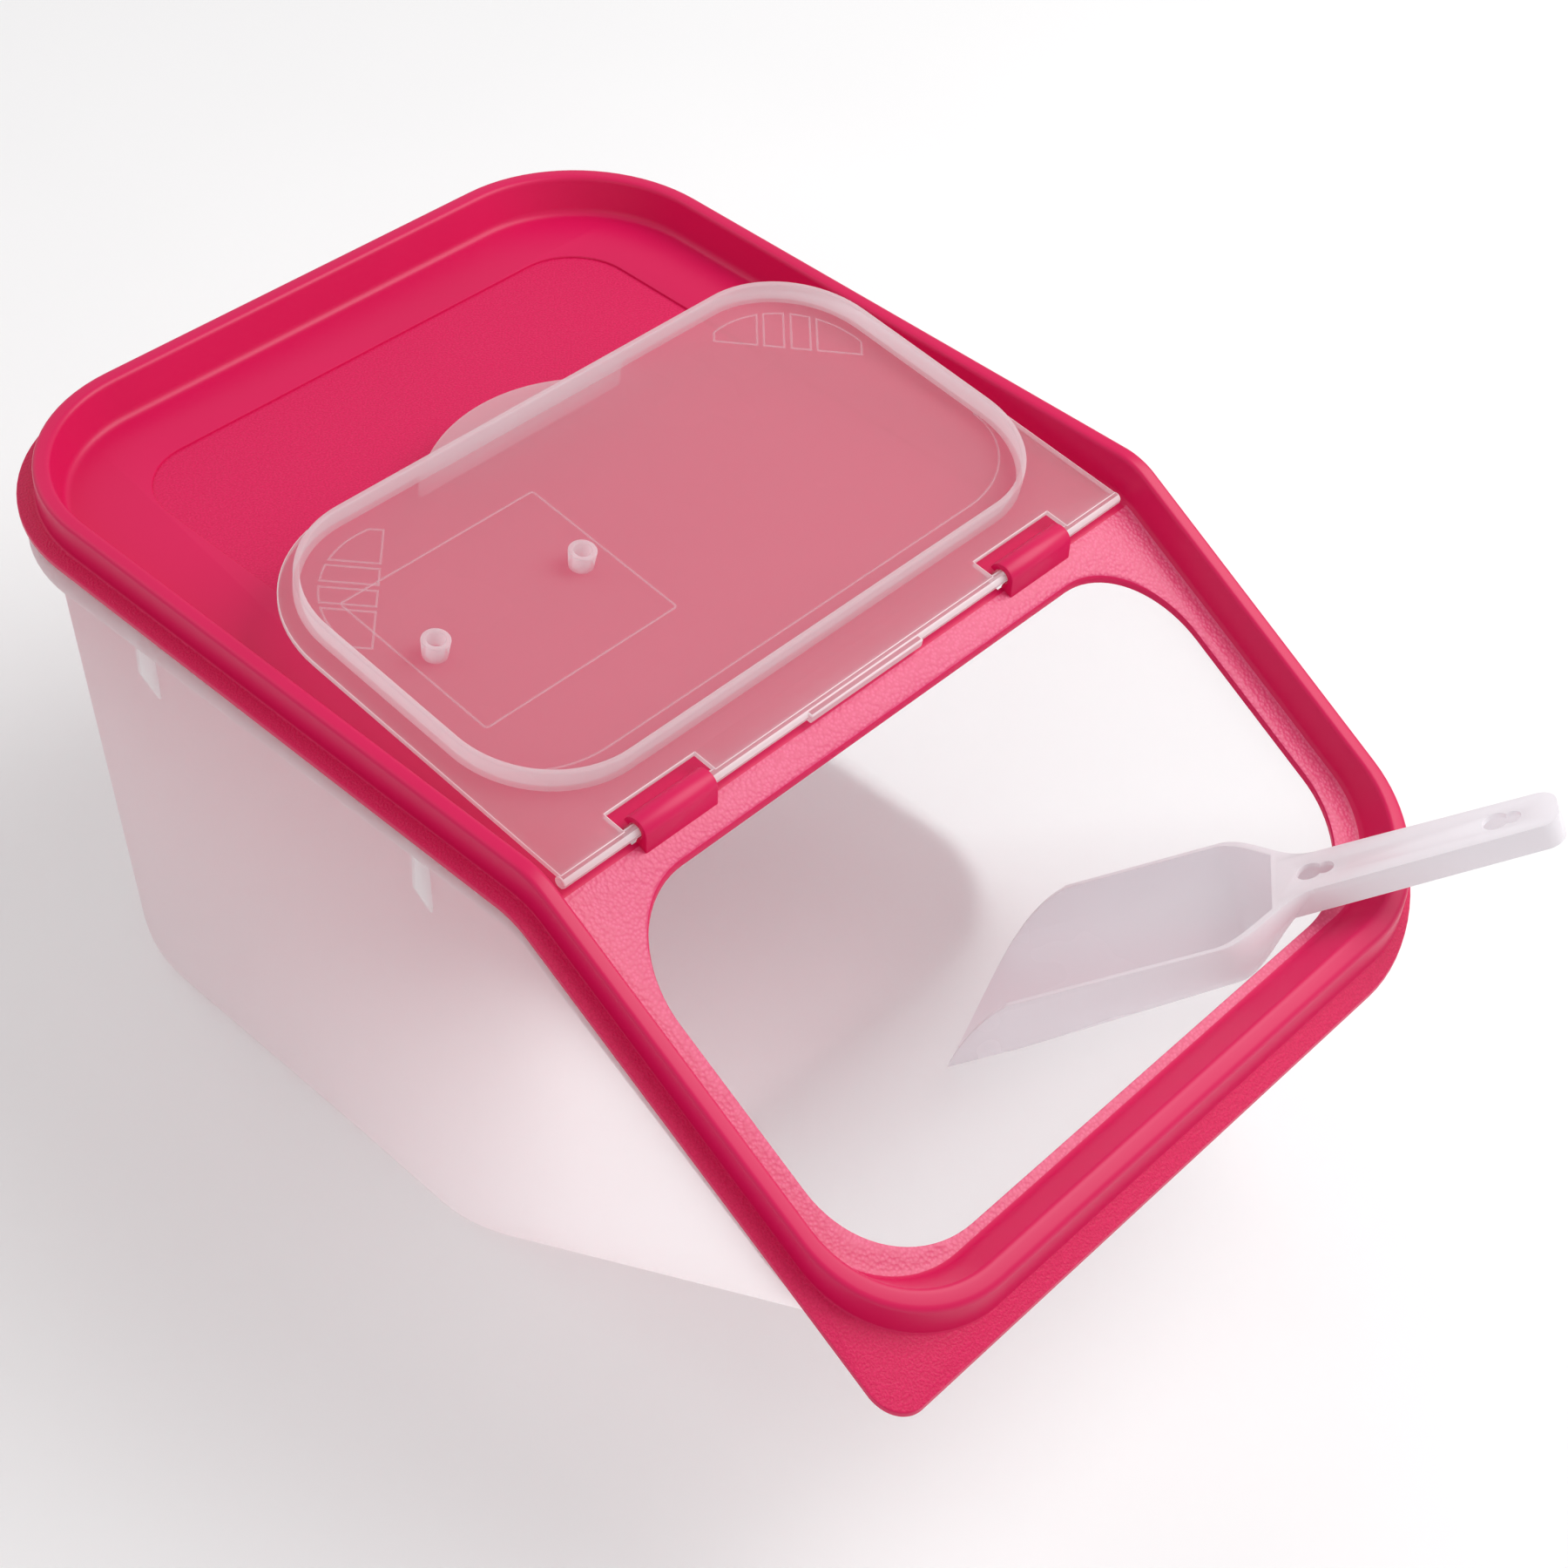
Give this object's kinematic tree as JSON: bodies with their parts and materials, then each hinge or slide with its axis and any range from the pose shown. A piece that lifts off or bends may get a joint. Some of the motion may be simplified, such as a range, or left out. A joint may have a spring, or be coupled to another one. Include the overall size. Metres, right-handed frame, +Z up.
{
  "type": "pet food bin",
  "caption": "Clear tapered food bin with a pink press-fit cover, a hinged clear flap over its sloping opening, and a white scoop.",
  "frame": {"origin": "centre of the tub's flat floor, on its underside", "axes": "+Z up, -Y to the low front edge that the scoop goes in over, +X to the right seen from the front"},
  "size_m": [0.2607, 0.4037, 0.2019],
  "materials": {
    "frosted_tub": "frosted translucent",
    "pink_cover": "satin with a fine grain",
    "frosted_flap": "clear, slightly frosted",
    "white_scoop": "gloss"
  },
  "bodies": {
    "tub": {"tub": "frosted_tub"},
    "cover": {"cover": "pink_cover"},
    "flap": {"flap": "frosted_flap"},
    "scoop": {"scoop": "white_scoop"}
  },
  "joints": [
    {"name": "cover_lift", "type": "slide", "parent": "tub", "child": "cover", "axis": [0, 0, 1], "range_m": [0, 0.06]},
    {"name": "flap_hinge", "type": "hinge", "parent": "cover", "child": "flap", "pos_m": [0, -0.118, 0.178], "axis": [1, 0, 0], "range_deg": [0, 203.9]},
    {"name": "scoop_lift", "type": "slide", "parent": "cover", "child": "scoop", "axis": [0.3201, -0.3401, 0.8842], "range_m": [0, 0.46]}
  ],
  "couplings": [
    {"joint": "scoop_lift", "follows": "flap_hinge", "m_per_rad": 0.126}
  ]
}
